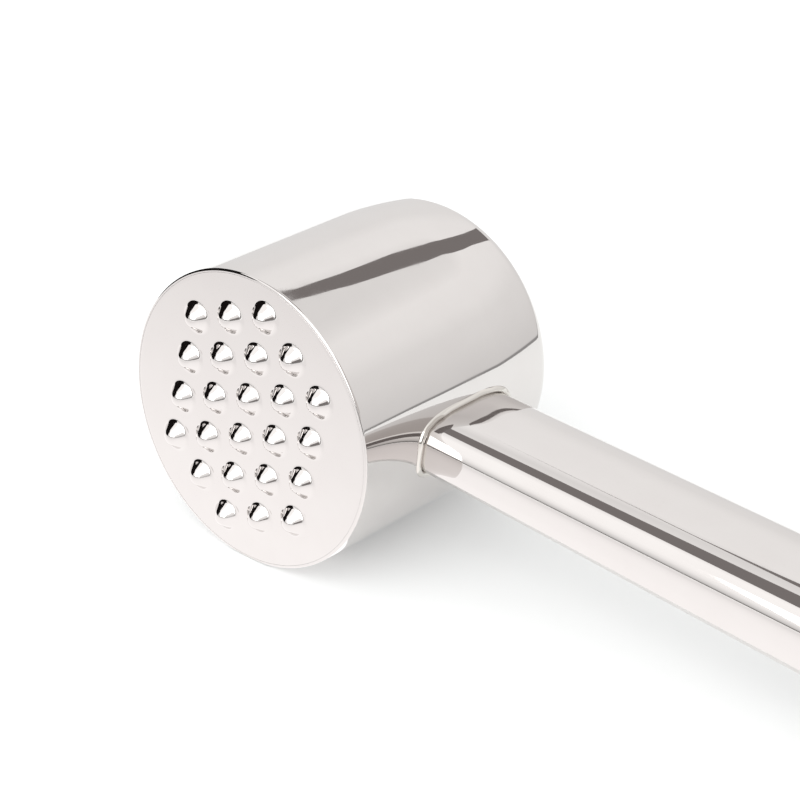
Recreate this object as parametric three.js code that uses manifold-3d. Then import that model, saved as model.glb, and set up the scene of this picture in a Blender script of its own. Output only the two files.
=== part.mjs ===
// Meat mallet: a weighted drum head with a studded face and a flat face, on a hollow oval handle.
// Everything is modelled with the head's axis along Y (studded face towards -Y) and the handle along +X.
// Then the whole mallet is laid down on a table: the drum and the handle's far end both touch it.
import * as THREE from 'three';
import { mergeVertices } from 'three/addons/utils/BufferGeometryUtils.js';
import Module from 'manifold-3d';

// ---- Driving dimensions, in millimetres and degrees ----

const CLEARANCE = 0.3; // left between pieces that touch

const HEAD_RADIUS = 25;
const SHELL_WALL = 1.5;
const BARREL_START = 32.5; // where the shell starts to close in, from the studded face
const BARREL_RADIUS = 90;
const BARREL_ANGLE = 7.5;
const CORNER_RADIUS = 3.75;
const MOUTH_WALL = 0.8; // shell wall left beside the stud plate
const MOUTH_CHAMFER = 0.3;

const STUD_PLATE_THICKNESS = 2.5;
const STUD_PITCH = 7.755;
const STUD_ROWS = [3, 4, 5, 5, 4, 3];
const STUD_ROW_SHIFT = 0.25; // of a pitch, one way in the upper rows and the other in the lower ones
const STUD_ROW_TURN = 21.7; // from the handle's direction
const STUD_RADIUS = 3.1;
const STUD_HEIGHT = 2.4;
const STUD_TIP_RADIUS = 0.9;
const STUD_FOOT_RADIUS = 0.9;

const BACKING_DISC_THICKNESS = 3;
const WEIGHT_RADIUS = 23;
const WEIGHT_END = 42;
const WEIGHT_TAPER = { length: 6, depth: 1 };
const WEIGHT_FLAT = 21.2; // distance of the milled seat from the head's axis
const CUSHION_RADIUS = 21.2;

const HANDLE_END = 242; // from the head's axis
const HANDLE_WALL = 1.2;
const OVAL_POWER = 3.3; // 2 would be an ellipse
const HALF_WIDTH = { atHead: 10.6, atEnd: 11.2 };
const HALF_THICKNESS = { atHead: 5, atEnd: 7.8 };
const SWELL_POWER = 1.5; // the thickness grows fastest near the head
const TUBE_END = 216;
const CAP_PLAN_ROUNDING = 14;
const CAP_EDGE_ROUNDING = 7.5;
const JOINT_SLEEVE = { start: 208, end: 221, wall: 1 };

const EYELET_BORE = 4; // radius
const EYELET_WALL = 1;
const EYELET_FROM_END = 13;

const BEAD_WIDTH = 1.3;
const BEAD_HEIGHT = 0.6;

const PLUG_LENGTH = 12;
const SCREW_OFFSET = 4.7; // either side of the handle's middle
const SCREW_RADIUS = 2;
const SCREW_TIP = 6;
const SCREW_HEAD = { radius: 3.5, length: 4, socketRadius: 1.73, socketDepth: 2 };
const WASHER = { radius: 3.5, thickness: 1.1 };

// ---- Sizes that follow from them ----

const radians = THREE.MathUtils.degToRad;
const BARREL_DROP = BARREL_RADIUS * (1 - Math.cos(radians(BARREL_ANGLE)));
const BARREL_END = BARREL_START + BARREL_RADIUS * Math.sin(radians(BARREL_ANGLE));
const CORNER_CENTRE = {
  r: HEAD_RADIUS - BARREL_DROP - CORNER_RADIUS * Math.cos(radians(BARREL_ANGLE)),
  y: BARREL_END - CORNER_RADIUS * Math.sin(radians(BARREL_ANGLE)),
};
const HEAD_LENGTH = CORNER_CENTRE.y + CORNER_RADIUS;
const HANDLE_Y = HEAD_LENGTH / 2;
const MOUTH_DEPTH = STUD_PLATE_THICKNESS + CLEARANCE;
const BACKING_START = MOUTH_DEPTH + CLEARANCE;
const WEIGHT_START = BACKING_START + BACKING_DISC_THICKNESS + CLEARANCE;
const TUBE_START = WEIGHT_FLAT + CLEARANCE;

// ---- Shapes ----

const wasm = await Module();
wasm.setup();

function solidOf(geometry) {
  const bare = geometry.clone();
  bare.deleteAttribute('normal');
  bare.deleteAttribute('uv');
  const merged = mergeVertices(bare, 1e-4);
  const vertProperties = new Float32Array(merged.attributes.position.array);
  const triVerts = new Uint32Array(merged.index.array);
  return new wasm.Manifold(new wasm.Mesh({ numProp: 3, vertProperties, triVerts }));
}

function geometryOf(solid) {
  const mesh = solid.getMesh();
  const geometry = new THREE.BufferGeometry();
  geometry.setAttribute('position', new THREE.BufferAttribute(mesh.vertProperties, mesh.numProp));
  geometry.setIndex(new THREE.BufferAttribute(mesh.triVerts, 1));
  geometry.computeVertexNormals();
  return geometry;
}

// A solid of revolution about the head's axis. The profile runs from one point on the axis to another,
// or closes on itself, as [radius, y] pairs, with the metal on its left.
function turned(profile, segments) {
  return new THREE.LatheGeometry(profile.map(([r, y]) => new THREE.Vector2(r, y)), segments);
}

function disc(radius, start, end, segments = 64) {
  return turned([[0, start], [radius, start], [radius, end], [0, end]], segments);
}

// A rod or cutter that lies along the handle, at an offset to one side of its middle.
function bar(radius, start, end, offset = 0, segments = 32) {
  const geometry = new THREE.CylinderGeometry(radius, radius, end - start, segments);
  geometry.rotateZ(-Math.PI / 2);
  geometry.translate((start + end) / 2, HANDLE_Y + offset, 0);
  return geometry;
}

const handleFraction = (x) => (x - HEAD_RADIUS) / (HANDLE_END - HEAD_RADIUS);
const halfWidthAt = (x) => THREE.MathUtils.lerp(HALF_WIDTH.atHead, HALF_WIDTH.atEnd, handleFraction(x));
function halfThicknessAt(x) {
  const swell = 1 - (1 - handleFraction(x)) ** SWELL_POWER;
  return THREE.MathUtils.lerp(HALF_THICKNESS.atHead, HALF_THICKNESS.atEnd, swell);
}

// How much of the full size is left at x, where the end is rounded over the given length.
function rounding(x, length, end) {
  const past = Math.max(0, (x - (end - length)) / length);
  return Math.sqrt(Math.max(0, 1 - past * past));
}

// A closed oval body along the handle: one ring of points at each station, grown by an offset.
function ovalBody(stations, grow = 0, rounded = false) {
  const around = 44;
  const end = HANDLE_END + grow;
  const points = [];
  const faces = [];
  for (const x of stations) {
    const plan = rounded ? rounding(x, CAP_PLAN_ROUNDING + grow, end) : 1;
    const edge = rounded ? rounding(x, CAP_EDGE_ROUNDING + grow, end) : 1;
    const width = (halfWidthAt(x) + grow) * plan;
    const thickness = (halfThicknessAt(x) + grow) * edge;
    for (let i = 0; i < around; i++) {
      const angle = (2 * Math.PI * i) / around;
      const c = Math.cos(angle);
      const s = Math.sin(angle);
      const y = Math.sign(c) * Math.abs(c) ** (2 / OVAL_POWER) * width;
      const z = Math.sign(s) * Math.abs(s) ** (2 / OVAL_POWER) * thickness;
      points.push(x, HANDLE_Y + y, z);
    }
  }
  for (let ring = 0; ring < stations.length - 1; ring++) {
    for (let i = 0; i < around; i++) {
      const a = ring * around + i;
      const b = ring * around + ((i + 1) % around);
      faces.push(a, b, a + around, b, b + around, a + around);
    }
  }
  const lastRing = (stations.length - 1) * around;
  const firstCentre = points.length / 3;
  points.push(stations[0], HANDLE_Y, 0, stations.at(-1), HANDLE_Y, 0);
  for (let i = 0; i < around; i++) {
    const next = (i + 1) % around;
    faces.push(firstCentre, next, i, firstCentre + 1, lastRing + i, lastRing + next);
  }
  const geometry = new THREE.BufferGeometry();
  geometry.setAttribute('position', new THREE.Float32BufferAttribute(points, 3));
  geometry.setIndex(faces);
  return geometry;
}

// Points of an arc, as [radius, y] pairs, from one angle to another; 0 degrees points outwards.
function arc(r, y, radius, from, to, steps) {
  const points = [];
  for (let i = 0; i <= steps; i++) {
    const angle = radians(THREE.MathUtils.lerp(from, to, i / steps));
    points.push([r + radius * Math.cos(angle), y + radius * Math.sin(angle)]);
  }
  return points;
}

// ---- Pieces ----

const mallet = new THREE.Group();

function addPiece(name, geometry, colour, roughness) {
  const material = new THREE.MeshStandardMaterial({ color: colour, roughness, metalness: 1 });
  const mesh = new THREE.Mesh(geometry, material);
  mesh.name = name;
  mallet.add(mesh);
  return mesh;
}

const MIRROR_STEEL = 0xd8d8da;
const PLAIN_STEEL = 0x8d9095;
const DARK_STEEL = 0x55585c;

// Deep-drawn cup: straight wall, slightly barrelled towards its closed flat end, with a stepped mouth
// for the stud plate and an oval opening for the handle.
function headShell() {
  const inner = HEAD_RADIUS - SHELL_WALL;
  const mouth = HEAD_RADIUS - MOUTH_WALL;
  const barrelCentre = HEAD_RADIUS - BARREL_RADIUS;
  const { r, y } = CORNER_CENTRE;
  const profile = [
    [0, HEAD_LENGTH - SHELL_WALL],
    ...arc(r, y, CORNER_RADIUS - SHELL_WALL, 90, BARREL_ANGLE, 3),
    ...arc(barrelCentre, BARREL_START, BARREL_RADIUS - SHELL_WALL, BARREL_ANGLE / 2, 0, 1),
    [inner, MOUTH_DEPTH],
    [mouth, MOUTH_DEPTH],
    [mouth, 0],
    [HEAD_RADIUS - MOUTH_CHAMFER, 0],
    [HEAD_RADIUS, MOUTH_CHAMFER],
    ...arc(barrelCentre, BARREL_START, BARREL_RADIUS, 0, BARREL_ANGLE, 3),
    ...arc(r, y, CORNER_RADIUS, BARREL_ANGLE, 90, 5).slice(1),
    [0, HEAD_LENGTH],
  ];
  const opening = ovalBody([HEAD_RADIUS / 2, HEAD_RADIUS * 2], CLEARANCE);
  return geometryOf(solidOf(turned(profile, 80)).subtract(solidOf(opening)));
}
addPiece('head_shell', headShell(), MIRROR_STEEL, 0.06);

// Thick striking plate with the rounded cone studs coined in one piece with it.
function studPlate() {
  const radius = HEAD_RADIUS - MOUTH_WALL - CLEARANCE;
  const plate = disc(radius, 0, STUD_PLATE_THICKNESS, 80);
  const root = STUD_PLATE_THICKNESS / 2;
  const flank = studFlankAngle();
  const tip = arc(0, STUD_TIP_RADIUS - STUD_HEIGHT, STUD_TIP_RADIUS, -90, flank - 90, 2).slice(1);
  const foot = arc(STUD_RADIUS, -STUD_FOOT_RADIUS, STUD_FOOT_RADIUS, 90 + flank, 90, 1);
  const profile = [[0, -STUD_HEIGHT], ...tip, ...foot, [STUD_RADIUS, root], [0, root]];
  const stud = turned(profile, 14);
  let solid = solidOf(plate);
  for (const [x, z] of studPlaces()) {
    solid = solid.add(solidOf(stud.clone().translate(x, 0, z)));
  }
  return geometryOf(solid);
}

// The slope, in degrees, of the straight flank that is tangent to a stud's tip and foot arcs.
function studFlankAngle() {
  const across = STUD_RADIUS;
  const along = STUD_HEIGHT - STUD_TIP_RADIUS - STUD_FOOT_RADIUS;
  const radii = STUD_TIP_RADIUS + STUD_FOOT_RADIUS;
  const angle = Math.atan2(along, across) + Math.asin(radii / Math.hypot(across, along));
  return THREE.MathUtils.radToDeg(angle);
}

// Six staggered rows on an equilateral lattice, centred on the plate.
function studPlaces() {
  const turn = radians(STUD_ROW_TURN);
  const rowSpacing = STUD_PITCH * Math.sin(radians(60));
  const middleRow = (STUD_ROWS.length - 1) / 2;
  const places = [];
  STUD_ROWS.forEach((count, row) => {
    const shift = row < middleRow ? STUD_ROW_SHIFT : -STUD_ROW_SHIFT;
    const up = (middleRow - row) * rowSpacing;
    for (let i = 0; i < count; i++) {
      const along = (i - (count - 1) / 2 + shift) * STUD_PITCH;
      const x = along * Math.cos(turn) - up * Math.sin(turn);
      const z = along * Math.sin(turn) + up * Math.cos(turn);
      places.push([x, z]);
    }
  });
  return places;
}
addPiece('stud_plate', studPlate(), MIRROR_STEEL, 0.06);

// Flat disc that carries the stud plate's blows into the weight.
const backingRadius = HEAD_RADIUS - SHELL_WALL - CLEARANCE;
const backingEnd = BACKING_START + BACKING_DISC_THICKNESS;
addPiece('backing_disc', disc(backingRadius, BACKING_START, backingEnd), PLAIN_STEEL, 0.4);

// Steel slug that fills the drum, with a milled seat and two threaded holes for the handle.
function headWeight() {
  const { length, depth } = WEIGHT_TAPER;
  const profile = [
    [0, WEIGHT_START],
    [WEIGHT_RADIUS, WEIGHT_START],
    [WEIGHT_RADIUS, WEIGHT_END - length],
    [WEIGHT_RADIUS - depth, WEIGHT_END],
    [0, WEIGHT_END],
  ];
  const waste = new THREE.BoxGeometry(HEAD_RADIUS, HEAD_LENGTH * 2, HEAD_RADIUS * 2);
  waste.translate(WEIGHT_FLAT + HEAD_RADIUS / 2, HANDLE_Y, 0);
  let slug = solidOf(turned(profile, 64)).subtract(solidOf(waste));
  for (const side of [-1, 1]) {
    const hole = bar(SCREW_RADIUS + CLEARANCE, SCREW_TIP - CLEARANCE, HEAD_RADIUS, side * SCREW_OFFSET);
    slug = slug.subtract(solidOf(hole));
  }
  return geometryOf(slug);
}
addPiece('head_weight', headWeight(), DARK_STEEL, 0.5);

// Hard fibre disc between the weight and the closed end, so blows don't dent the thin wall.
const cushionEnd = HEAD_LENGTH - SHELL_WALL - CLEARANCE;
const cushion = addPiece(
  'rear_cushion_disc', disc(CUSHION_RADIUS, WEIGHT_END + CLEARANCE, cushionEnd), 0x6b3f2a, 0.8);
cushion.material.metalness = 0;

// Oval block in the head end of the handle tube, pulled on to the weight's milled seat by two screws.
const plugEnd = TUBE_START + PLUG_LENGTH;
function headPlug() {
  let plug = solidOf(ovalBody([TUBE_START, plugEnd], -HANDLE_WALL - CLEARANCE));
  for (const side of [-1, 1]) {
    const hole = bar(SCREW_RADIUS + CLEARANCE, 0, HEAD_RADIUS * 2, side * SCREW_OFFSET);
    plug = plug.subtract(solidOf(hole));
  }
  return geometryOf(plug);
}
addPiece('head_plug', headPlug(), PLAIN_STEEL, 0.4);

// Two socket-head screws side by side, each on a lock washer.
const washerStart = plugEnd + CLEARANCE;
const screwHeadStart = washerStart + WASHER.thickness + CLEARANCE;
const screwHeadEnd = screwHeadStart + SCREW_HEAD.length;
for (const [side, offset] of [['front', -SCREW_OFFSET], ['rear', SCREW_OFFSET]]) {
  const washerBlank = solidOf(bar(WASHER.radius, washerStart, washerStart + WASHER.thickness, offset));
  const washerBore = solidOf(bar(SCREW_RADIUS + CLEARANCE, 0, HEAD_RADIUS * 2, offset));
  addPiece(`lock_washer_${side}`, geometryOf(washerBlank.subtract(washerBore)), PLAIN_STEEL, 0.4);

  const shank = solidOf(bar(SCREW_RADIUS, SCREW_TIP, screwHeadStart + 1, offset));
  const head = solidOf(bar(SCREW_HEAD.radius, screwHeadStart, screwHeadEnd, offset));
  const socketStart = screwHeadEnd - SCREW_HEAD.socketDepth;
  const socket = solidOf(bar(SCREW_HEAD.socketRadius, socketStart, screwHeadEnd + 1, offset, 6));
  addPiece(`tang_screw_${side}`, geometryOf(shank.add(head).subtract(socket)), DARK_STEEL, 0.4);
}

// Hollow oval tube that swells towards the hand. It goes through the shell's wall to the weight's seat.
function tubeStations(start, end) {
  const bays = 9;
  return Array.from({ length: bays + 1 }, (_, i) => THREE.MathUtils.lerp(start, end, i / bays));
}
function handleTube() {
  const outer = solidOf(ovalBody(tubeStations(TUBE_START, TUBE_END)));
  const inner = solidOf(ovalBody(tubeStations(TUBE_START - 1, TUBE_END + 1), -HANDLE_WALL));
  return geometryOf(outer.subtract(inner));
}
addPiece('handle_tube', handleTube(), MIRROR_STEEL, 0.06);

// Raised polished weld round the handle, in the shape of a saddle on the drum.
function weldBead() {
  const reach = [HEAD_RADIUS / 2, HEAD_RADIUS * 2];
  const ring = solidOf(ovalBody(reach, CLEARANCE + BEAD_WIDTH))
    .subtract(solidOf(ovalBody([reach[0] - 1, reach[1] + 1], CLEARANCE)));
  const top = solidOf(disc(HEAD_RADIUS + CLEARANCE + BEAD_HEIGHT, 0, HEAD_LENGTH, 160));
  const bottom = solidOf(disc(HEAD_RADIUS + CLEARANCE, -1, HEAD_LENGTH + 1, 160));
  return geometryOf(ring.intersect(top).subtract(bottom));
}
addPiece('weld_bead', weldBead(), MIRROR_STEEL, 0.1);

// Short sleeve inside the tube that lines up the end cap and backs its weld.
function jointSleeve() {
  const { start, end, wall } = JOINT_SLEEVE;
  const grow = -HANDLE_WALL - CLEARANCE;
  const outer = solidOf(ovalBody([start, end], grow));
  return geometryOf(outer.subtract(solidOf(ovalBody([start - 1, end + 1], grow - wall))));
}
addPiece('joint_sleeve', jointSleeve(), PLAIN_STEEL, 0.4);

// Hollow rounded cap that closes the far end, with a round opening through both walls.
function capStations(start, grow) {
  const end = HANDLE_END + grow;
  const stations = [start];
  for (let turn = 0; turn <= 84; turn += 14) {
    stations.push(end - CAP_PLAN_ROUNDING * (1 - Math.sin(radians(turn))));
  }
  for (const turn of [0, 30, 60]) {
    stations.push(end - CAP_EDGE_ROUNDING * (1 - Math.sin(radians(turn))));
  }
  return stations.sort((a, b) => a - b);
}
const eyeletX = HANDLE_END - EYELET_FROM_END;
function upright(radius) {
  const geometry = new THREE.CylinderGeometry(radius, radius, HEAD_RADIUS, 40);
  geometry.rotateX(Math.PI / 2);
  geometry.translate(eyeletX, HANDLE_Y, 0);
  return solidOf(geometry);
}
function endCap() {
  const start = TUBE_END + CLEARANCE;
  const outer = solidOf(ovalBody(capStations(start, 0), 0, true));
  const inner = solidOf(ovalBody(capStations(start - 1, -HANDLE_WALL), -HANDLE_WALL, true));
  return geometryOf(outer.subtract(inner).subtract(upright(EYELET_BORE + EYELET_WALL + CLEARANCE)));
}
addPiece('end_cap', endCap(), MIRROR_STEEL, 0.06);

// Short tube welded through the cap and ground flush, which makes the hanging hole.
function hangingEyelet() {
  const cap = solidOf(ovalBody(capStations(TUBE_END, 0), 0, true));
  return geometryOf(upright(EYELET_BORE + EYELET_WALL).subtract(upright(EYELET_BORE)).intersect(cap));
}
addPiece('hanging_eyelet', hangingEyelet(), MIRROR_STEEL, 0.1);

// ---- Laid on the table ----

// The handle drops until the underside of its end reaches the table that the drum rests on.
const contactX = HANDLE_END - CAP_EDGE_ROUNDING;
const contactZ = halfThicknessAt(contactX);
mallet.rotation.y =
  Math.asin(HEAD_RADIUS / Math.hypot(contactX, contactZ)) - Math.atan2(contactZ, contactX);

// The origin is the middle of the whole mallet's footprint, on the table.
const box = new THREE.Box3().setFromObject(mallet, true);
const middle = box.getCenter(new THREE.Vector3());
mallet.position.set(-middle.x, -middle.y, -box.min.z);

export default mallet;
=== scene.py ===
import math

import bmesh
import bpy
from mathutils import Matrix, Vector


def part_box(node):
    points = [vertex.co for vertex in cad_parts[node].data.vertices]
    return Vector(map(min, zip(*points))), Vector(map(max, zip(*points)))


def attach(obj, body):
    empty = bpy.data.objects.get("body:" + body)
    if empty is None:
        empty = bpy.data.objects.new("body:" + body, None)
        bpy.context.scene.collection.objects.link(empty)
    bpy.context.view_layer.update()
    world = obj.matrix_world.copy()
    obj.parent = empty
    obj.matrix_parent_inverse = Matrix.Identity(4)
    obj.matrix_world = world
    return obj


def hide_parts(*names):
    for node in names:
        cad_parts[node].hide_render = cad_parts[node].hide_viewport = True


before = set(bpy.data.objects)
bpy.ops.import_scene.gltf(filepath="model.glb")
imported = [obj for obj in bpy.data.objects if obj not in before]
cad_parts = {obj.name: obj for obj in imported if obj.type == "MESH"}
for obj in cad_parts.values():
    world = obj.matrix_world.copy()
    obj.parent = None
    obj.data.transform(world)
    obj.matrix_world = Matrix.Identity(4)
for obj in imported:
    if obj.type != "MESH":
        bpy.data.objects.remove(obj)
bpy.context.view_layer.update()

# ---------------------------------------------------------------------------------------------
# How the mallet lies
# It is made with the head's axis along Y and the handle along X, and then laid on a table, so the
# handle slopes down from the head until its far end touches. Every new piece is modelled in that
# bench position, in millimetres from the middle of the studded face, and laid down at the end.

MM = 0.001
shell_low, shell_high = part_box("head_shell")
head_radius = (shell_high.z - shell_low.z) / 2 / MM
head_length = (shell_high.y - shell_low.y) / MM
head_centre = (shell_low + shell_high) / 2
face_centre = Vector((head_centre.x, shell_low.y, head_centre.z))
eyelet_low, eyelet_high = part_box("hanging_eyelet")
eyelet_centre = (eyelet_low + eyelet_high) / 2
handle_slope = math.atan2(face_centre.z - eyelet_centre.z, eyelet_centre.x - face_centre.x)
laid_down = (
    Matrix.Translation(face_centre)
    @ Matrix.Rotation(handle_slope, 4, "Y")
    @ Matrix.Scale(MM, 4)
)

# ---------------------------------------------------------------------------------------------
# The camera
# A long lens looks down on the head from the front right, so the handle runs out of the frame. It is
# turned a little about its own axis.

camera_distance = 374.6 * MM
camera_azimuth = math.radians(39.94)
camera_elevation = math.radians(26.76)
camera_roll = math.radians(1.94)
camera_aim = head_centre + Vector((11.3, 0, -0.9)) * MM

camera = bpy.data.objects.new("camera", bpy.data.cameras.new("camera"))
bpy.context.scene.collection.objects.link(camera)
towards_camera = Vector((
    math.sin(camera_azimuth) * math.cos(camera_elevation),
    -math.cos(camera_azimuth) * math.cos(camera_elevation),
    math.sin(camera_elevation),
))
camera.location = camera_aim + towards_camera * camera_distance
camera.rotation_mode = "QUATERNION"
facing = (-towards_camera).to_track_quat("-Z", "Y").to_matrix().to_4x4()
camera.rotation_quaternion = (facing @ Matrix.Rotation(camera_roll, 4, "Z")).to_quaternion()
camera.data.sensor_width = 36
camera.data.lens = 104.1
camera.data.clip_start = 0.01
bpy.context.scene.camera = camera

# ---------------------------------------------------------------------------------------------
# Drum shell
# A cup drawn from 1.5 mm stainless sheet. Its wall closes in very slightly towards the rear, where a
# tight corner leads into the flat end. The rim is turned thin for the stud plate and buffed round.
# The whole head is buffed to a mirror after welding, which leaves it faintly wavy.

SHELL_WALL = 1.5
BARREL_START = 32.5
BARREL_RADIUS = 90
BARREL_ANGLE = 7.5
CORNER_RADIUS = 3.75
LIP_WIDTH = 0.5
LIP_ROUNDING = 0.35
MOUTH_DEPTH = 2.6
SHELL_STEPS = 256
MERGE_DISTANCE = 0.0005
SHARP_EDGE = math.radians(35)


def linear(hex_colour):
    """An sRGB hex colour as the linear RGBA that shaders take."""
    channels = [int(hex_colour[i:i + 2], 16) / 255 for i in (1, 3, 5)]
    return [c / 12.92 if c <= 0.04045 else ((c + 0.055) / 1.055) ** 2.4 for c in channels] + [1]


def add_node(material, kind, values=None, **settings):
    """Adds a node. A tuple of a node and its output feeds a socket; anything else is its value."""
    made = material.node_tree.nodes.new(kind)
    for name, setting in settings.items():
        setattr(made, name, setting)
    for socket, value in (values or {}).items():
        if isinstance(value, tuple):
            material.node_tree.links.new(value[0].outputs[value[1]], made.inputs[socket])
        else:
            made.inputs[socket].default_value = value
    return made


def new_material(name):
    """An empty node material."""
    material = bpy.data.materials.new(name)
    material.use_nodes = True
    material.node_tree.nodes.clear()
    return material


def polished_stainless(name, tint, worn_tint, wave_height):
    """18/8 stainless steel, buffed on a soft wheel: a mirror that is a little wavy over centimetres,
    with the wheel's faint haze and a few hairlines in it."""
    material = new_material(name)
    place = add_node(material, "ShaderNodeTexCoord")
    waves = add_node(
        material, "ShaderNodeTexNoise",
        {"Vector": (place, "Object"), "Scale": 1 / (17 * MM), "Detail": 1.0, "Roughness": 0.4})
    haze = add_node(
        material, "ShaderNodeTexNoise",
        {"Vector": (place, "Object"), "Scale": 1 / (6 * MM), "Detail": 4.0, "Roughness": 0.6})
    stretch = add_node(
        material, "ShaderNodeMapping", {"Vector": (place, "Object"), "Scale": [1, 0.04, 1]})
    hairlines = add_node(
        material, "ShaderNodeTexNoise",
        {"Vector": (stretch, "Vector"), "Scale": 1 / (0.5 * MM), "Detail": 2.0, "Roughness": 0.5})
    dullness = add_node(
        material, "ShaderNodeMapRange",
        {"Value": (haze, "Fac"), "From Min": 0.35, "From Max": 0.7, "To Min": 0.02, "To Max": 0.055})
    colour = add_node(
        material, "ShaderNodeMix",
        {"Factor": (haze, "Fac"), "A": linear(tint), "B": linear(worn_tint)}, data_type="RGBA")
    wavy = add_node(
        material, "ShaderNodeBump",
        {"Height": (waves, "Fac"), "Strength": 1.0, "Distance": wave_height})
    scratched = add_node(
        material, "ShaderNodeBump",
        {"Height": (hairlines, "Fac"), "Normal": (wavy, "Normal"), "Strength": 1.0,
         "Distance": 0.00008 * MM})
    shader = add_node(
        material, "ShaderNodeBsdfPrincipled",
        {"Base Color": (colour, "Result"), "Metallic": 1.0, "Roughness": (dullness, "Result"),
         "Normal": (scratched, "Normal")})
    add_node(material, "ShaderNodeOutputMaterial", {"Surface": (shader, "BSDF")})
    return material


mirror_steel = polished_stainless("buffed 18/8 stainless steel", "#d6d3d1", "#d2cecc", 0.03 * MM)


def arc(r, y, radius, start, end, steps):
    """Points of an arc in the head's (radius, y) half plane; 0 degrees points outwards."""
    angles = [math.radians(start + (end - start) * i / steps) for i in range(steps + 1)]
    return [(r + radius * math.cos(a), y + radius * math.sin(a)) for a in angles]


def spin_profile(bm, points, steps):
    """Spins a profile of (radius, y) points round the head's axis."""
    verts = [bm.verts.new((r, y, 0)) for r, y in points]
    edges = [bm.edges.new(pair) for pair in zip(verts, verts[1:])]
    bmesh.ops.spin(
        bm, geom=verts + edges, cent=(0, 0, 0), axis=(0, 1, 0), angle=2 * math.pi, steps=steps,
        use_merge=True)


def finished_piece(name, bm, material, node, merge=MERGE_DISTANCE):
    """Turns a bmesh in the bench position into a laid-down piece that stands for a CAD node."""
    bmesh.ops.remove_doubles(bm, verts=bm.verts, dist=merge)
    bmesh.ops.recalc_face_normals(bm, faces=bm.faces)
    mesh = bpy.data.meshes.new(name)
    bm.to_mesh(mesh)
    bm.free()
    mesh.transform(laid_down)
    mesh.materials.append(material)
    mesh.shade_smooth()
    mesh.set_sharp_from_angle(angle=SHARP_EDGE)
    piece = bpy.data.objects.new(name, mesh)
    bpy.context.scene.collection.objects.link(piece)
    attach(piece, "root")
    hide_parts(node)


corner_r = (
    head_radius
    - BARREL_RADIUS * (1 - math.cos(math.radians(BARREL_ANGLE)))
    - CORNER_RADIUS * math.cos(math.radians(BARREL_ANGLE))
)
corner_y = head_length - CORNER_RADIUS
barrel_centre = head_radius - BARREL_RADIUS
lip_r = head_radius - LIP_WIDTH
inner_r = head_radius - SHELL_WALL
shell_profile = (
    [(0, head_length - SHELL_WALL)]
    + arc(corner_r, corner_y, CORNER_RADIUS - SHELL_WALL, 90, BARREL_ANGLE, 8)
    + arc(barrel_centre, BARREL_START, BARREL_RADIUS - SHELL_WALL, BARREL_ANGLE - 1, 0, 4)
    + [(inner_r, MOUTH_DEPTH), (lip_r, MOUTH_DEPTH), (lip_r, 0)]
    + arc(head_radius - LIP_ROUNDING, LIP_ROUNDING, LIP_ROUNDING, -90, 0, 14)
    + [(head_radius, y) for y in (0.5, 1, 2, 4, 8, 16, 24, 30)]
    + arc(barrel_centre, BARREL_START, BARREL_RADIUS, 0, BARREL_ANGLE, 16)
    + arc(corner_r, corner_y, CORNER_RADIUS, BARREL_ANGLE, 90, 30)[1:]
    + [(r, head_length) for r in (corner_r - 0.3, corner_r - 1, corner_r / 2, 0)]
)
bm = bmesh.new()
spin_profile(bm, shell_profile, SHELL_STEPS)
finished_piece("drum_shell", bm, mirror_steel, "head_shell")

# ---------------------------------------------------------------------------------------------
# Stud plate
# A thick disc welded into the drum's mouth and buffed flush with its rim, so the seam hardly shows.
# Its studs are coined: blunt cones that run out into the face in a soft fillet.

SEAM_WIDTH = 0.02
PLATE_RADIUS = head_radius - LIP_WIDTH - SEAM_WIDTH
PLATE_THICKNESS = 2.5
PLATE_EDGE = 0.02
PLATE_BORDER = 0.6
STUD_PITCH = 7.755
STUD_ROWS = (3, 4, 5, 5, 4, 3)
STUD_ROW_SHIFT = 0.25
STUD_ROW_TURN = math.radians(21.7)
STUD_FIELD_OFFSET = (-0.45, 0.15)
STUD_RADIUS = 3.0
STUD_HEIGHT = 2.1
STUD_TIP_RADIUS = 1.8
STUD_FOOT_RADIUS = 0.95
STUD_STEPS = 48
FLAT_COLLAR = 0.12

stud_reach = STUD_HEIGHT - STUD_TIP_RADIUS - STUD_FOOT_RADIUS
stud_flank = math.degrees(
    math.atan2(stud_reach, STUD_RADIUS)
    + math.asin((STUD_TIP_RADIUS + STUD_FOOT_RADIUS) / math.hypot(STUD_RADIUS, stud_reach))
)
stud_profile = (
    arc(0, STUD_TIP_RADIUS - STUD_HEIGHT, STUD_TIP_RADIUS, -90, stud_flank - 90, 8)
    + arc(STUD_RADIUS, -STUD_FOOT_RADIUS, STUD_FOOT_RADIUS, 90 + stud_flank, 90, 8)
    + [(STUD_RADIUS + FLAT_COLLAR, 0)]
)
stud = bmesh.new()
spin_profile(stud, stud_profile, STUD_STEPS)
bmesh.ops.remove_doubles(stud, verts=stud.verts, dist=MERGE_DISTANCE)
stud_mesh = bpy.data.meshes.new("stud")
stud.to_mesh(stud_mesh)
stud.free()
bm = bmesh.new()
row_spacing = STUD_PITCH * math.sin(math.radians(60))
middle_row = (len(STUD_ROWS) - 1) / 2
for row, count in enumerate(STUD_ROWS):
    shift = STUD_ROW_SHIFT if row < middle_row else -STUD_ROW_SHIFT
    up = (middle_row - row) * row_spacing
    for i in range(count):
        along = (i - (count - 1) / 2 + shift) * STUD_PITCH
        stud_x = along * math.cos(STUD_ROW_TURN) - up * math.sin(STUD_ROW_TURN)
        stud_z = along * math.sin(STUD_ROW_TURN) + up * math.cos(STUD_ROW_TURN)
        stud_place = (stud_x + STUD_FIELD_OFFSET[0], 0, stud_z + STUD_FIELD_OFFSET[1])
        placed = set(bm.verts)
        bm.from_mesh(stud_mesh)
        added = [vert for vert in bm.verts if vert not in placed]
        bmesh.ops.translate(bm, verts=added, vec=stud_place)
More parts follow.
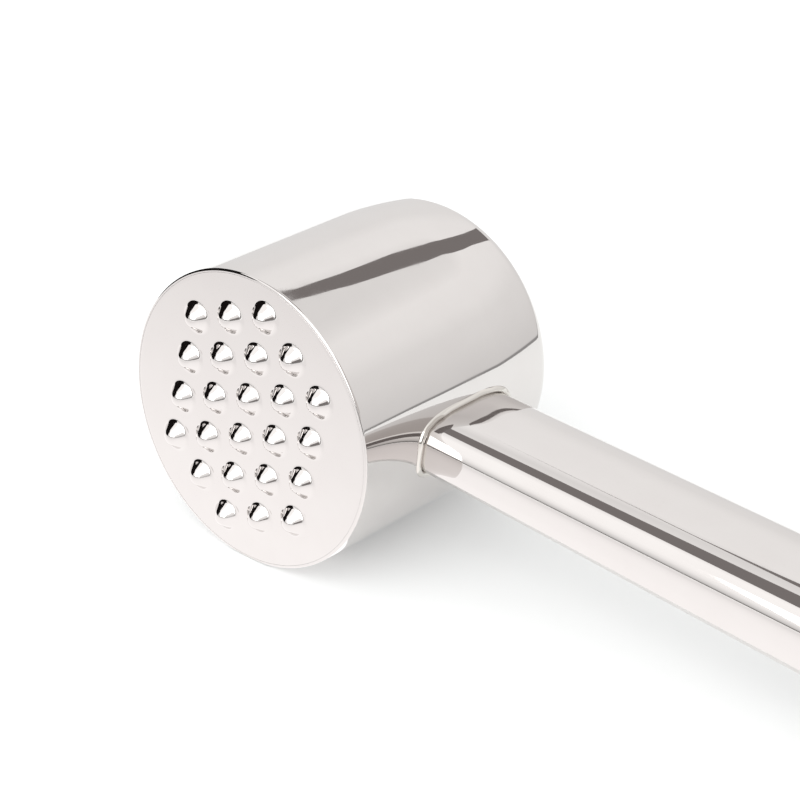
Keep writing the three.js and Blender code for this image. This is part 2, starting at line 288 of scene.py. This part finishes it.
bpy.data.meshes.remove(stud_mesh)
plate_profile = (
    [(PLATE_RADIUS - PLATE_BORDER, 0)]
    + arc(PLATE_RADIUS - PLATE_EDGE, PLATE_EDGE, PLATE_EDGE, -90, 0, 3)
    + [(PLATE_RADIUS, PLATE_THICKNESS), (0, PLATE_THICKNESS)]
)
spin_profile(bm, plate_profile, SHELL_STEPS)
bmesh.ops.remove_doubles(bm, verts=bm.verts, dist=MERGE_DISTANCE)
open_edges = [edge for edge in bm.edges if edge.is_boundary]
bmesh.ops.triangle_fill(bm, edges=open_edges, use_beauty=True, normal=(0, -1, 0))
finished_piece("studded_plate", bm, mirror_steel, "stud_plate")

# ---------------------------------------------------------------------------------------------
# Handle tube
# A flattened oval tube of stainless steel with 1.2 mm walls, which gets wider and much thicker towards
# the hand. It is pushed through the opening in the drum's side and polished like it.

HANDLE_END = 242
HANDLE_WALL = 1.2
OVAL_POWER = 3.3
HALF_WIDTH = (10.6, 11.2)
HALF_THICKNESS = (5, 7.8)
SWELL_POWER = 1.5
TUBE_START = 21.5
TUBE_END = 216
TUBE_STEPS = 24
OVAL_STEPS = 192


def oval_point(x, angle, grow=0.0, plan=1.0, edge=1.0):
    """A point on the handle's oval at x, with the oval grown by a distance and shrunk by shares."""
    along = (x - head_radius) / (HANDLE_END - head_radius)
    swell = 1 - (1 - along) ** SWELL_POWER
    width = (HALF_WIDTH[0] + (HALF_WIDTH[1] - HALF_WIDTH[0]) * along + grow) * plan
    thickness = (HALF_THICKNESS[0] + (HALF_THICKNESS[1] - HALF_THICKNESS[0]) * swell + grow) * edge
    c, s = math.cos(angle), math.sin(angle)
    y = math.copysign(abs(c) ** (2 / OVAL_POWER), c) * width
    z = math.copysign(abs(s) ** (2 / OVAL_POWER), s) * thickness
    return Vector((x, head_length / 2 + y, z))


def closed_loop(bm, points):
    """A ring of new points joined by edges."""
    verts = [bm.verts.new(point) for point in points]
    return [bm.edges.new(pair) for pair in zip(verts, verts[1:] + verts[:1])]


def bridge_all(bm, loops, closed=False):
    """Skins a row of rings."""
    following = loops[1:] + loops[:1] if closed else loops[1:]
    for first, second in zip(loops, following):
        bmesh.ops.bridge_loops(bm, edges=first + second)


round_the_oval = [2 * math.pi * i / OVAL_STEPS for i in range(OVAL_STEPS)]
tube_step = (TUBE_END - TUBE_START) / TUBE_STEPS
tube_stations = [TUBE_START + tube_step * i for i in range(TUBE_STEPS + 1)]
bm = bmesh.new()
rings = [closed_loop(bm, [oval_point(x, a) for a in round_the_oval]) for x in tube_stations]
rings += [
    closed_loop(bm, [oval_point(x, a, -HANDLE_WALL) for a in round_the_oval])
    for x in reversed(tube_stations)
]
bridge_all(bm, rings, closed=True)
finished_piece("handle_oval_tube", bm, mirror_steel, "handle_tube")

# ---------------------------------------------------------------------------------------------
# Weld bead
# The joint between tube and drum is filled by hand and buffed, which leaves a low rounded rib all the
# way round, a little uneven.

BEAD_WIDTH = 1.0
BEAD_HEIGHT = 0.5
BEAD_SUNK = 0.05
BEAD_STEPS = 16

bead_steel = polished_stainless("hand-buffed stainless weld", "#d9d5d0", "#cbc7c1", 0.01 * MM)


def bead_point(angle, across):
    """A point of the rib: across runs from 0 at the handle to 1 at its foot on the drum."""
    uneven = 1 + 0.12 * math.sin(7 * angle + 1.0) + 0.08 * math.sin(17 * angle + 0.4)
    lift = BEAD_HEIGHT * math.sin(math.pi * across) ** 0.6 * uneven
    point = oval_point(head_radius, angle, grow=BEAD_WIDTH * across - BEAD_SUNK)
    radius = head_radius + lift - BEAD_SUNK
    point.x = math.sqrt(radius ** 2 - point.z ** 2)
    return point


bm = bmesh.new()
rings = [
    closed_loop(bm, [bead_point(a, step / BEAD_STEPS) for a in round_the_oval])
    for step in range(BEAD_STEPS + 1)
]
bridge_all(bm, rings)
finished_piece("weld_rib", bm, bead_steel, "weld_bead", merge=0.00001)

# ---------------------------------------------------------------------------------------------
# End cap
# A deep-drawn stainless cap butt-welded to the tube and buffed with it, rounded in plan and along its
# edges. A hole for the eyelet is punched through both of its flats.

CAP_PLAN_ROUNDING = 14
CAP_EDGE_ROUNDING = 7.5
CAP_SEAM = 0.02
CAP_STRAIGHT_STEPS = 4
CAP_TURN_STEPS = 36
EYELET_FROM_END = 13
EYELET_HOLE = 5.03
HOLE_STEPS = 96

eyelet_x = HANDLE_END - EYELET_FROM_END


def left_of(x, length, grow):
    """How much of the full size is left at x, where the cap is rounded over a length."""
    end = HANDLE_END + grow
    past = max(0.0, (x - (end - length - grow)) / (length + grow))
    return math.sqrt(max(0.0, 1 - past * past))


def cut_away(bm, cutter):
    """What is left of one closed shape when another is cut out of it."""
    solids = []
    for shape in (bm, cutter):
        bmesh.ops.recalc_face_normals(shape, faces=shape.faces)
        mesh = bpy.data.meshes.new("cutting")
        shape.to_mesh(mesh)
        shape.free()
        solids.append(bpy.data.objects.new("cutting", mesh))
        bpy.context.scene.collection.objects.link(solids[-1])
    cut = solids[0].modifiers.new("cut", "BOOLEAN")
    cut.operation = "DIFFERENCE"
    cut.object = solids[1]
    left = bmesh.new()
    left.from_object(solids[0], bpy.context.evaluated_depsgraph_get())
    for solid in solids:
        bpy.data.meshes.remove(solid.data)
    return left


def cap_ring(bm, x, grow):
    """A ring of the cap at x: of its outside, or with a negative growth of its inside."""
    plan = left_of(x, CAP_PLAN_ROUNDING, grow)
    edge = left_of(x, CAP_EDGE_ROUNDING, grow)
    return closed_loop(bm, [oval_point(x, a, grow, plan, edge) for a in round_the_oval])


def cap_stations(grow):
    """Where the cap's rings are: far apart along the straight part and close round the end."""
    start = TUBE_END + CAP_SEAM
    step = (HANDLE_END - CAP_PLAN_ROUNDING - start) / CAP_STRAIGHT_STEPS
    straight = [start + step * i for i in range(CAP_STRAIGHT_STEPS)]
    turns = [math.radians(90 * i / CAP_TURN_STEPS) for i in range(CAP_TURN_STEPS)]
    length = CAP_PLAN_ROUNDING + grow
    return straight + [HANDLE_END + grow - length * (1 - math.sin(t)) for t in turns]


bm = bmesh.new()
rings = [cap_ring(bm, x, 0) for x in cap_stations(0)]
bmesh.ops.edgeloop_fill(bm, edges=rings[-1])
rings_in = [cap_ring(bm, x, -HANDLE_WALL) for x in cap_stations(-HANDLE_WALL)]
bmesh.ops.edgeloop_fill(bm, edges=rings_in[-1])
bridge_all(bm, rings)
bridge_all(bm, rings_in)
bmesh.ops.bridge_loops(bm, edges=rings[0] + rings_in[0])
punch = bmesh.new()
hole_place = Matrix.Translation((eyelet_x, head_length / 2, 0))
bmesh.ops.create_cone(
    punch, cap_ends=True, segments=HOLE_STEPS, radius1=EYELET_HOLE, radius2=EYELET_HOLE,
    depth=4 * HALF_THICKNESS[1], matrix=hole_place)
bm = cut_away(bm, punch)
finished_piece("handle_end_cap", bm, mirror_steel, "end_cap")

# ---------------------------------------------------------------------------------------------
# Hanging eyelet
# A short stainless tube welded into the cap's hole, so that the hollow handle stays closed to fat and
# water. Its ends are dressed flush with the cap and its bore is rounded where a hook rubs.

EYELET_BORE = 4
EYELET_OUTSIDE = 4.98
EYELET_COLLAR = 0.15
EYELET_CHAMFER = 0.02
BORE_ROUNDING = 0.6
BORE_STEPS = 10


def cap_height(x, y):
    """How far the cap's surface is from its middle plane."""
    point = oval_point(x, math.pi / 2)
    along = (x - head_radius) / (HANDLE_END - head_radius)
    half_width = HALF_WIDTH[0] + (HALF_WIDTH[1] - HALF_WIDTH[0]) * along
    share = (1 - abs(y / half_width) ** OVAL_POWER) ** (1 / OVAL_POWER)
    return point.z * share * left_of(x, CAP_EDGE_ROUNDING, 0)


def eyelet_ring(bm, radius, drop, side):
    """A ring of the eyelet at a distance below the cap's surface, on its upper or lower side."""
    points = []
    for i in range(HOLE_STEPS):
        turn = 2 * math.pi * i / HOLE_STEPS
        x = eyelet_x + radius * math.cos(turn)
        y = radius * math.sin(turn)
        points.append(Vector((x, head_length / 2 + y, side * (cap_height(x, y) - drop))))
    return closed_loop(bm, points)


eyelet_lip = [
    (EYELET_OUTSIDE, EYELET_COLLAR),
    (EYELET_OUTSIDE, EYELET_CHAMFER),
    (EYELET_OUTSIDE - EYELET_CHAMFER, 0),
]
eyelet_lip += [
    (EYELET_BORE + BORE_ROUNDING * (1 - math.sin(t)), BORE_ROUNDING * (1 - math.cos(t)))
    for t in [math.radians(90 * i / BORE_STEPS) for i in range(BORE_STEPS + 1)]
]
bm = bmesh.new()
rings = [eyelet_ring(bm, radius, drop, 1) for radius, drop in eyelet_lip]
rings += [eyelet_ring(bm, radius, drop, -1) for radius, drop in reversed(eyelet_lip)]
bridge_all(bm, rings, closed=True)
finished_piece("eyelet_tube", bm, mirror_steel, "hanging_eyelet")

# ---------------------------------------------------------------------------------------------
# Turned parts inside the head and the handle
# The backing disc, the oval plug and sleeve in the handle, and the lock washers are free-cutting
# steel, and the weight is parted off mild steel bar. Cutting leaves them with fine rings round the
# head's axis and a film of oil.

TOOL_FEED = 0.3 * MM


def turned_steel(name, fresh, oily, ring_depth):
    """Steel as it leaves the lathe: bright fine rings about the head's axis under patches of oil."""
    material = new_material(name)
    place = add_node(material, "ShaderNodeTexCoord")
    centred = add_node(
        material, "ShaderNodeMapping", {"Vector": (place, "Object"), "Location": list(-head_centre)})
    rings = add_node(
        material, "ShaderNodeTexWave",
        {"Vector": (centred, "Vector"), "Scale": math.pi / (10 * TOOL_FEED), "Distortion": 0.4,
         "Detail": 2.0},
        wave_type="RINGS", rings_direction="Y")
    oil = add_node(
        material, "ShaderNodeTexNoise",
        {"Vector": (place, "Object"), "Scale": 1 / (9 * MM), "Detail": 3.0, "Roughness": 0.55})
    colour = add_node(
        material, "ShaderNodeMix", {"Factor": (oil, "Fac"), "A": linear(fresh), "B": linear(oily)},
        data_type="RGBA")
    dullness = add_node(
        material, "ShaderNodeMapRange",
        {"Value": (oil, "Fac"), "From Min": 0.35, "From Max": 0.7, "To Min": 0.32, "To Max": 0.18})
    grooved = add_node(
        material, "ShaderNodeBump",
        {"Height": (rings, "Fac"), "Strength": 1.0, "Distance": ring_depth})
    shader = add_node(
        material, "ShaderNodeBsdfPrincipled",
        {"Base Color": (colour, "Result"), "Metallic": 1.0, "Roughness": (dullness, "Result"),
         "Normal": (grooved, "Normal")})
    add_node(material, "ShaderNodeOutputMaterial", {"Surface": (shader, "BSDF")})
    return material


def refinish(material, *nodes):
    """Gives CAD nodes, which keep their shape, a finer material."""
    for node in nodes:
        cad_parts[node].data.materials.clear()
        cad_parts[node].data.materials.append(material)


free_cutting_steel = turned_steel("turned free-cutting steel", "#c6c7c9", "#b3b2ae", 0.004 * MM)
refinish(
    free_cutting_steel, "backing_disc", "head_plug", "lock_washer_front", "lock_washer_rear",
    "joint_sleeve")
mild_steel_bar = turned_steel("turned mild steel bar", "#8f9093", "#7c7770", 0.012 * MM)
refinish(mild_steel_bar, "head_weight")

# ---------------------------------------------------------------------------------------------
# Tang screws
# Two M4 socket cap screws that pull the plug in the handle's end on to the weight's seat. They are
# alloy steel under black oxide: a thin dark film, a little browner and duller where it is thin.

black_oxide = new_material("black oxide on alloy steel")
place = add_node(black_oxide, "ShaderNodeTexCoord")
film = add_node(
    black_oxide, "ShaderNodeTexNoise",
    {"Vector": (place, "Object"), "Scale": 1 / (1.2 * MM), "Detail": 4.0, "Roughness": 0.6})
film_colour = add_node(
    black_oxide, "ShaderNodeMix",
    {"Factor": (film, "Fac"), "A": linear("#3b3c40"), "B": linear("#524b45")}, data_type="RGBA")
film_dullness = add_node(
    black_oxide, "ShaderNodeMapRange",
    {"Value": (film, "Fac"), "From Min": 0.35, "From Max": 0.65, "To Min": 0.3, "To Max": 0.48})
film_grain = add_node(
    black_oxide, "ShaderNodeBump",
    {"Height": (film, "Fac"), "Strength": 1.0, "Distance": 0.004 * MM})
film_shader = add_node(
    black_oxide, "ShaderNodeBsdfPrincipled",
    {"Base Color": (film_colour, "Result"), "Metallic": 1.0, "Roughness": (film_dullness, "Result"),
     "Normal": (film_grain, "Normal")})
add_node(black_oxide, "ShaderNodeOutputMaterial", {"Surface": (film_shader, "BSDF")})
refinish(black_oxide, "tang_screw_front", "tang_screw_rear")

# ---------------------------------------------------------------------------------------------
# Rear cushion disc
# A disc punched from red vulcanised fibre sheet, between the weight and the drum's closed end, where
# it deadens the ring. It is pressed cotton paper: matt, red-brown and mottled by its fibres.

FIBRE_LENGTH = 2.5 * MM
FIBRE_WIDTH = 0.25 * MM

red_fibre = new_material("red vulcanised fibre")
place = add_node(red_fibre, "ShaderNodeTexCoord")
fibre_place = add_node(
    red_fibre, "ShaderNodeMapping",
    {"Vector": (place, "Object"), "Scale": [FIBRE_WIDTH / FIBRE_LENGTH, 1, 1]})
fibres = add_node(
    red_fibre, "ShaderNodeTexNoise",
    {"Vector": (fibre_place, "Vector"), "Scale": 1 / FIBRE_WIDTH, "Detail": 3.0, "Roughness": 0.6})
fibre_colour = add_node(
    red_fibre, "ShaderNodeMix",
    {"Factor": (fibres, "Fac"), "A": linear("#6d3527"), "B": linear("#8a4a36")}, data_type="RGBA")
fibre_grain = add_node(
    red_fibre, "ShaderNodeBump", {"Height": (fibres, "Fac"), "Strength": 1.0, "Distance": 0.02 * MM})
fibre_shader = add_node(
    red_fibre, "ShaderNodeBsdfPrincipled",
    {"Base Color": (fibre_colour, "Result"), "Roughness": 0.7, "IOR": 1.5,
     "Normal": (fibre_grain, "Normal")})
add_node(red_fibre, "ShaderNodeOutputMaterial", {"Surface": (fibre_shader, "BSDF")})
refinish(red_fibre, "rear_cushion_disc")

# ---------------------------------------------------------------------------------------------
# The table and the light
# A white table in a big light tent, with a softbox in front and a white card on the table. Two unlit
# gaps overhead, a dark room close by on the left and grey curtains on the right are all there only
# for the polished steel to reflect. Nothing but the table shows by itself.

TABLE_REACH = {"left": 0.75, "right": 0.31, "front": 0.37, "back": 0.55}
TABLE_TURN = math.radians(44)
TENT_GLOW = 1.28


def stage_object(name, corners, material, seen=False):
    """A flat sheet for the set, from its corners."""
    bm = bmesh.new()
    bm.faces.new([bm.verts.new(corner) for corner in corners])
    mesh = bpy.data.meshes.new(name)
    bm.to_mesh(mesh)
    bm.free()
    mesh.materials.append(material)
    thing = bpy.data.objects.new(name, mesh)
    bpy.context.scene.collection.objects.link(thing)
    thing.visible_camera = seen
    thing.visible_diffuse = seen
    thing.visible_shadow = seen


def glowing_card(name, hex_colour):
    """Cloth or paper that is lit evenly by the tent."""
    material = new_material(name)
    glow = add_node(
        material, "ShaderNodeEmission", {"Color": linear(hex_colour), "Strength": TENT_GLOW})
    add_node(material, "ShaderNodeOutputMaterial", {"Surface": (glow, "Emission")})
    return material


# White laminate, which is a touch darker for the camera than for the steel that mirrors it. Both of
# its shaders also glow a little all over: painted light that lifts the shadows on the table.
table_paint = new_material("white laminate table")
table_shader = add_node(
    table_paint, "ShaderNodeBsdfPrincipled",
    {"Base Color": linear("#d9dbdb"), "Roughness": 0.8, "Specular IOR Level": 0.0,
     "Emission Color": linear("#ffffff"), "Emission Strength": 0.22})
table_seen_shader = add_node(
    table_paint, "ShaderNodeBsdfPrincipled",
    {"Base Color": linear("#d3d5d5"), "Roughness": 0.8, "Specular IOR Level": 0.0,
     "Emission Color": linear("#ffffff"), "Emission Strength": 0.2})
table_ray = add_node(table_paint, "ShaderNodeLightPath")
table_look = add_node(
    table_paint, "ShaderNodeMixShader",
    {"Fac": (table_ray, "Is Camera Ray"), 1: (table_shader, "BSDF"), 2: (table_seen_shader, "BSDF")})
add_node(table_paint, "ShaderNodeOutputMaterial", {"Surface": (table_look, "Shader")})
to_the_right = Vector((math.cos(TABLE_TURN), math.sin(TABLE_TURN), 0))
to_the_back = Vector((-math.sin(TABLE_TURN), math.cos(TABLE_TURN), 0))
table_middle = Vector((head_centre.x, head_centre.y, 0))
table_corners = [
    table_middle + to_the_right * right + to_the_back * back
    for right, back in (
        (-TABLE_REACH["left"], -TABLE_REACH["front"]),
        (TABLE_REACH["right"], -TABLE_REACH["front"]),
        (TABLE_REACH["right"], TABLE_REACH["back"]),
        (-TABLE_REACH["left"], TABLE_REACH["back"]),
    )
]
stage_object("table", table_corners, table_paint, seen=True)

# The two gaps between the tent's panels run overhead from left to right, seen from the camera.
# Their outlines are (to the right, away from the camera), in head radii from the middle of the face.
GAP_HEIGHT = 18
FAR_GAP = (
    (3.5, 21.5), (5.7, 18.3), (6.6, 17.1), (7.8, 16.9), (9.0, 17.2), (10.4, 16.8), (11.8, 18.2),
    (13.4, 20.4), (14.8, 22.8), (16.2, 26.2), (18.6, 33.0), (24.0, 30.0), (19.2, 21.6), (17.5, 18.9),
    (16.3, 16.4), (14.8, 14.4), (13.1, 13.0), (11.7, 13.1), (10.4, 13.2), (8.8, 13.8), (7.8, 14.5),
    (6.5, 16.5),
)
NEAR_GAP = (
    (-2.0, 15.0), (0.4, 12.9), (1.9, 11.3), (3.8, 10.0), (8.0, 8.5), (2.0, -3.5), (-0.6, -0.5),
    (-1.7, 2.4), (-2.7, 4.6), (-3.6, 7.0), (-5.0, 11.0),
)
dark_gap = glowing_card("unlit gap in the tent", "#7d7877")
for name, outline in (("far_gap", FAR_GAP), ("near_gap", NEAR_GAP)):
    corners = [
        face_centre
        + (to_the_right * right + to_the_back * back + Vector((0, 0, GAP_HEIGHT))) * head_radius * MM
        for right, back in outline
    ]
    stage_object(name, corners, dark_gap)
dark_room = glowing_card("dark room beyond the tent", "#151212")
dark_cloth = glowing_card("dark curtain", "#7d7877")
grey_cloth = glowing_card("grey curtain", "#cac6c4")
frame_shade = glowing_card("shaded tent frame", "#8f8a88")


def upright_card(name, material, first, last, lowest, highest):
    """A card that stands between two (x, y) places round the head, from one height to another."""
    places = [(*first, lowest), (*last, lowest), (*last, highest), (*first, highest)]
    stage_object(name, [head_centre + Vector(place) for place in places], material)


upright_card("dark_room", dark_room, (-0.22, -0.31), (-0.22, 0.155), -0.02, 0.24)
upright_card("dark_curtain", dark_cloth, (0.72, -0.62), (0.87, -0.38), 0.0, 0.95)
upright_card("grey_curtain", grey_cloth, (0.9, -0.2), (0.7, 0.58), 0.1, 0.9)

# The tent's frame stands on the table as a low dark strip in front.
FRAME_THICKNESS = 0.012
upright_card(
    "tent_frame", frame_shade, (-0.34, -0.33), (0.21, -0.33), -head_centre.z,
    FRAME_THICKNESS - head_centre.z)

# A white card lies on the table in front of the mallet. It glows by itself, and its glow is painted
# brighter close to the mallet: a painted pool of the softbox's light that the polished steel throws
# down on it.
CARD_LEFT = -0.4
CARD_RIGHT = 0.25
CARD_BACK = -0.012
CARD_FRONT = -0.22
CARD_HEIGHT = 0.0004
CARD_GLOW = {"far": 1.16, "near": 1.42}
card_white = new_material("white card with painted bounce light")
card_place = add_node(card_white, "ShaderNodeTexCoord")
card_side = add_node(card_white, "ShaderNodeSeparateXYZ", {"Vector": (card_place, "Object")})
# Painted light: the card's glow rises from far to near as it comes close to the mallet.
painted_glow_gradient = add_node(
    card_white, "ShaderNodeMapRange",
    {"Value": (card_side, "Y"), "From Min": -0.1, "From Max": -0.03,
     "To Min": CARD_GLOW["far"], "To Max": CARD_GLOW["near"]})
card_glow = add_node(
    card_white, "ShaderNodeEmission", {"Color": linear("#fffdfd"), "Strength": (painted_glow_gradient, "Result")})
add_node(card_white, "ShaderNodeOutputMaterial", {"Surface": (card_glow, "Emission")})
card_corners = [
    (CARD_LEFT, CARD_BACK, CARD_HEIGHT),
    (CARD_RIGHT, CARD_BACK, CARD_HEIGHT),
    (CARD_RIGHT, CARD_FRONT, CARD_HEIGHT),
    (CARD_LEFT, CARD_FRONT, CARD_HEIGHT),
]
stage_object("bounce_card", card_corners, card_white)

# The tent itself is darkest near the table. Its back is a little dimmer than its front.
LOWEST = -0.12
world = bpy.data.worlds.new("light tent")
world.use_nodes = True
world.node_tree.nodes.clear()
bpy.context.scene.world = world
sky_place = add_node(world, "ShaderNodeTexCoord")
sky_direction = add_node(world, "ShaderNodeSeparateXYZ", {"Vector": (sky_place, "Generated")})


def tent_side(levels):
    """How bright one side of the tent is, from the sine of the height above the horizon."""
    height = add_node(
        world, "ShaderNodeMapRange",
        {"Value": (sky_direction, "Z"), "From Min": LOWEST, "From Max": 1, "To Min": 0, "To Max": 1})
    ramp = add_node(world, "ShaderNodeValToRGB", {"Fac": (height, "Result")})
    for position, level in levels:
        place_on_ramp = (position - LOWEST) / (1 - LOWEST)
        ramp.color_ramp.elements.new(place_on_ramp).color = (level, level * 0.99, level * 0.985, 1)
    ramp.color_ramp.elements.remove(ramp.color_ramp.elements[0])
    ramp.color_ramp.elements.remove(ramp.color_ramp.elements[-1])
    return ramp


back_side = tent_side(
    ((-0.11, 0.3), (-0.088, 0.3), (-0.08, 0.7), (0.22, 0.79), (0.37, 0.82), (0.5, 0.90),
     (0.64, 0.93), (0.73, 0.80), (0.9, 0.9)))
front_side = tent_side(
    ((-0.095, 0.25), (0.0, 0.25), (0.02, 0.6), (0.1, 0.75), (0.26, 0.92), (0.34, 1.0), (0.57, 1.1),
     (0.9, 1.12)))
side = add_node(
    world, "ShaderNodeMapRange",
    {"Value": (sky_direction, "Y"), "From Min": -0.15, "From Max": 0.15, "To Min": 0, "To Max": 1})
tent = add_node(
    world, "ShaderNodeMix",
    {"Factor": (side, "Result"), "A": (front_side, "Color"), "B": (back_side, "Color")},
    data_type="RGBA")
# The steel mirrors the tent, and the camera sees plain white past the table's edge.
tent_light = add_node(
    world, "ShaderNodeBackground", {"Color": (tent, "Result"), "Strength": TENT_GLOW})
plain_light = add_node(world, "ShaderNodeBackground", {"Color": linear("#ffffff"), "Strength": 1.0})
ray = add_node(world, "ShaderNodeLightPath")
shown = add_node(
    world, "ShaderNodeMixShader",
    {"Fac": (ray, "Is Camera Ray"), 1: (tent_light, "Background"), 2: (plain_light, "Background")})
add_node(world, "ShaderNodeOutputWorld", {"Surface": (shown, "Shader")})


def softbox(name, place, width, height, glow):
    """A rectangular softbox that faces the head, as bright all over as glow says."""
    light = bpy.data.lights.new(name, "AREA")
    light.shape = "RECTANGLE"
    light.size = width
    light.size_y = height
    light.energy = glow * math.pi * width * height
    box = bpy.data.objects.new(name, light)
    bpy.context.scene.collection.objects.link(box)
    box.location = head_centre + place
    box.rotation_euler = (-place).to_track_quat("-Z", "Y").to_euler()
    box.visible_camera = False


softbox("front softbox", Vector((0.16, -0.755, 0.48)), width=0.9, height=0.9, glow=2.5)

bpy.context.scene.view_settings.view_transform = "Standard"
